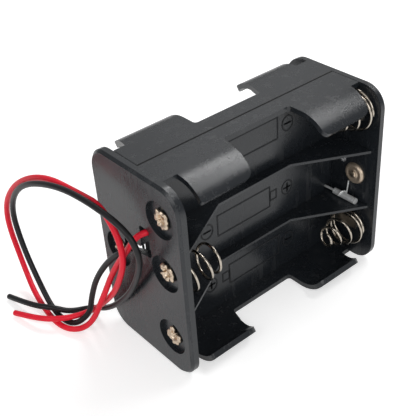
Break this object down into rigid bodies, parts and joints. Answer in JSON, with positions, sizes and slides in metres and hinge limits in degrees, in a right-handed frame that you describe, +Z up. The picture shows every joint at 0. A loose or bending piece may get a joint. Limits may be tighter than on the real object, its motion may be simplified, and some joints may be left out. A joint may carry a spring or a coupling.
{
  "type": "cylindrical cell holder",
  "caption": "Black moulded holder for cylindrical cells in two back-to-back trays, with a red and a black lead.",
  "frame": {"origin": "middle of the base, midway between the end plates and on the seam between the two trays", "axes": "+X along the cells, away from the end where the leads come out; +Y out of the back tray; +Z up"},
  "size_m": [0.0767, 0.0592, 0.0475],
  "materials": {
    "black_plastic": "moulded, satin",
    "spring_wire": "nickel plated wire",
    "contact_bronze": "plated, slightly dull",
    "contact_strip": "plated",
    "bright_tin": "tinned",
    "red_cover": "smooth",
    "black_cover": "smooth",
    "copper_core": "tinned strands"
  },
  "bodies": {
    "root": {"back_tray": "black_plastic", "black_core": "copper_core", "black_lead": "black_cover", "black_solder": "bright_tin", "crossover_pin": "bright_tin", "crossover_tie": "bright_tin", "crossover_wire": "bright_tin", "far_disc_back_low": "contact_bronze", "far_disc_back_top": "contact_bronze", "far_disc_front_mid": "contact_bronze", "far_rivet_back_low": "contact_bronze", "far_rivet_back_mid": "contact_bronze", "far_rivet_back_top": "contact_bronze", "far_rivet_front_mid": "contact_bronze", "far_spring_back_mid": "spring_wire", "far_spring_front_low": "spring_wire", "far_spring_front_top": "spring_wire", "far_strip_low": "contact_strip", "far_strip_top": "contact_strip", "front_tray": "black_plastic", "near_disc_back_mid": "contact_bronze", "near_disc_front_low": "contact_bronze", "near_disc_front_top": "contact_bronze", "near_lug_black": "contact_strip", "near_lug_red": "contact_strip", "near_rivet_back_mid": "contact_bronze", "near_rivet_front_low": "contact_bronze", "near_rivet_front_mid": "contact_bronze", "near_rivet_front_top": "contact_bronze", "near_spring_back_low": "spring_wire", "near_spring_back_top": "spring_wire", "near_spring_front_mid": "spring_wire", "near_strip_back": "contact_strip", "near_strip_front": "contact_strip", "red_core": "copper_core", "red_lead": "red_cover", "red_solder": "bright_tin"}
  },
  "joints": []
}
